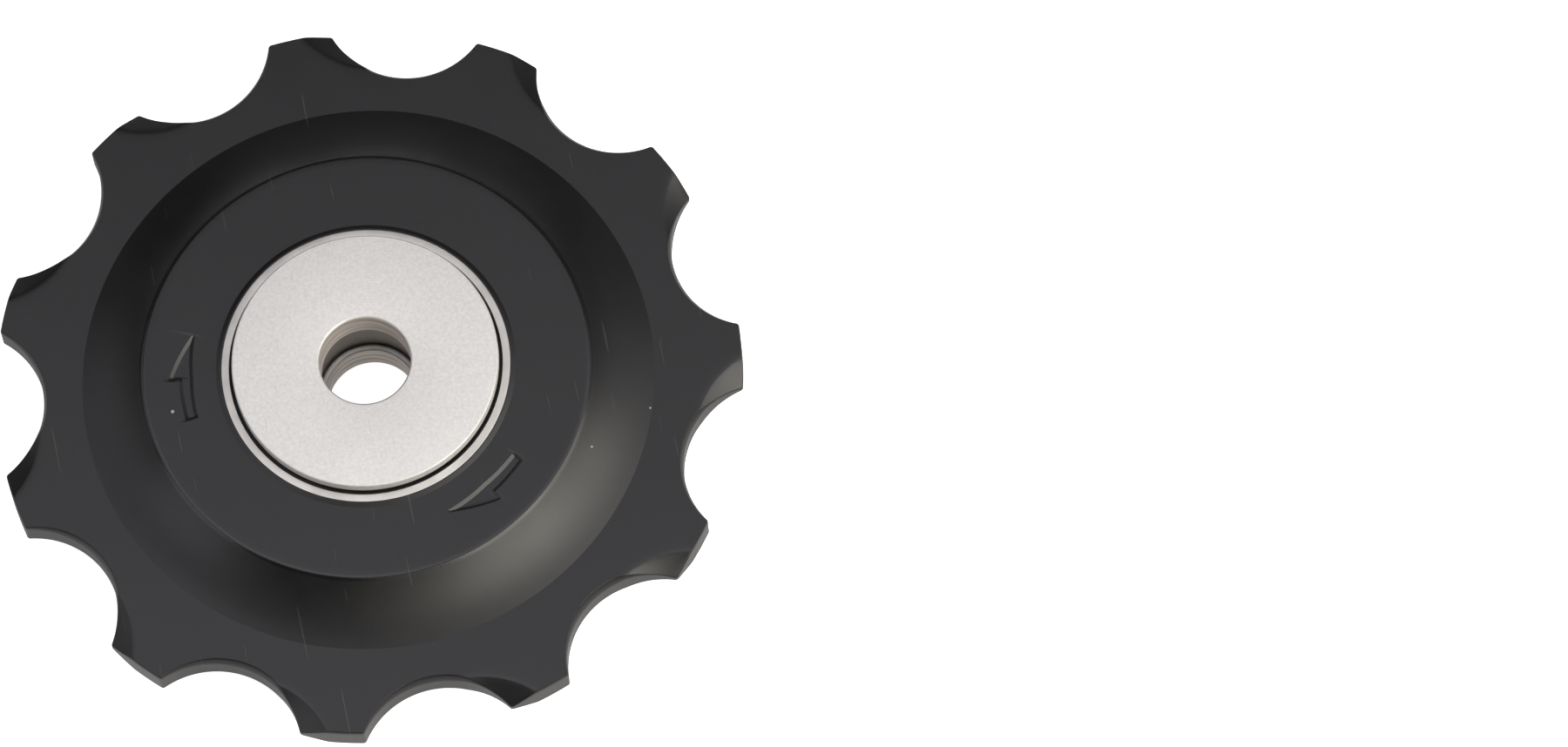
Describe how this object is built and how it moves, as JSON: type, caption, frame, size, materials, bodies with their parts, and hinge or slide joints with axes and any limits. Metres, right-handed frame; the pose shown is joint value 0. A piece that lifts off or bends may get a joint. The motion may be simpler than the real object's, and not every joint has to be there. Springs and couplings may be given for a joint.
{
  "type": "derailleur jockey wheel",
  "caption": "Black plastic toothed chain pulley with bevelled teeth and a sloping hub, turning on a sealed ball bearing between two turned metal caps with an axle bore.",
  "frame": {"origin": "on the axle bore's axis, in the middle of the teeth", "axes": "+Z along the axle, out of the face with the direction arrows; +Y through the middle of one tooth"},
  "size_m": [0.0428, 0.0424, 0.0076],
  "materials": {
    "wheel_plastic": "satin moulded black plastic",
    "bearing_steel": "ground bearing steel",
    "ball_steel": "polished bearing steel",
    "cage_steel": "pressed steel sheet",
    "seal_rubber": "moulded black rubber",
    "cap_metal": "satin turned light metal"
  },
  "bodies": {
    "clamped_core": {"upper_cap": "cap_metal", "lower_cap": "cap_metal", "bearing_inner_ring": "bearing_steel"},
    "wheel": {"toothed_wheel": "wheel_plastic", "bearing_outer_ring": "bearing_steel", "upper_seal": "seal_rubber", "lower_seal": "seal_rubber"},
    "ball_cage": {"cage_upper_half": "cage_steel", "cage_lower_half": "cage_steel", "cage_rivets": "cage_steel"},
    "ball_1": {"ball_1": "ball_steel"},
    "ball_2": {"ball_2": "ball_steel"},
    "ball_3": {"ball_3": "ball_steel"},
    "ball_4": {"ball_4": "ball_steel"},
    "ball_5": {"ball_5": "ball_steel"},
    "ball_6": {"ball_6": "ball_steel"},
    "ball_7": {"ball_7": "ball_steel"},
    "ball_8": {"ball_8": "ball_steel"}
  },
  "joints": [
    {"name": "wheel_spin", "type": "hinge", "parent": "clamped_core", "child": "wheel", "pos_m": [0, 0, 0], "axis": [0, 0, 1], "continuous": true},
    {"name": "cage_spin", "type": "hinge", "parent": "clamped_core", "child": "ball_cage", "pos_m": [0, 0, 0], "axis": [0, 0, 1], "continuous": true},
    {"name": "ball_1_roll", "type": "hinge", "parent": "ball_cage", "child": "ball_1", "pos_m": [0, 0.00575, 0], "axis": [0, 0, 1], "continuous": true},
    {"name": "ball_2_roll", "type": "hinge", "parent": "ball_cage", "child": "ball_2", "pos_m": [-0.00407, 0.00407, 0], "axis": [0, 0, 1], "continuous": true},
    {"name": "ball_3_roll", "type": "hinge", "parent": "ball_cage", "child": "ball_3", "pos_m": [-0.00575, 0, 0], "axis": [0, 0, 1], "continuous": true},
    {"name": "ball_4_roll", "type": "hinge", "parent": "ball_cage", "child": "ball_4", "pos_m": [-0.00407, -0.00407, 0], "axis": [0, 0, 1], "continuous": true},
    {"name": "ball_5_roll", "type": "hinge", "parent": "ball_cage", "child": "ball_5", "pos_m": [0, -0.00575, 0], "axis": [0, 0, 1], "continuous": true},
    {"name": "ball_6_roll", "type": "hinge", "parent": "ball_cage", "child": "ball_6", "pos_m": [0.00407, -0.00407, 0], "axis": [0, 0, 1], "continuous": true},
    {"name": "ball_7_roll", "type": "hinge", "parent": "ball_cage", "child": "ball_7", "pos_m": [0.00575, 0, 0], "axis": [0, 0, 1], "continuous": true},
    {"name": "ball_8_roll", "type": "hinge", "parent": "ball_cage", "child": "ball_8", "pos_m": [0.00407, 0.00407, 0], "axis": [0, 0, 1], "continuous": true}
  ],
  "couplings": [
    {"joint": "cage_spin", "follows": "wheel_spin", "ratio": 0.62078},
    {"joint": "ball_1_roll", "follows": "wheel_spin", "ratio": 1.9491},
    {"joint": "ball_2_roll", "follows": "wheel_spin", "ratio": 1.9491},
    {"joint": "ball_3_roll", "follows": "wheel_spin", "ratio": 1.9491},
    {"joint": "ball_4_roll", "follows": "wheel_spin", "ratio": 1.9491},
    {"joint": "ball_5_roll", "follows": "wheel_spin", "ratio": 1.9491},
    {"joint": "ball_6_roll", "follows": "wheel_spin", "ratio": 1.9491},
    {"joint": "ball_7_roll", "follows": "wheel_spin", "ratio": 1.9491},
    {"joint": "ball_8_roll", "follows": "wheel_spin", "ratio": 1.9491}
  ]
}
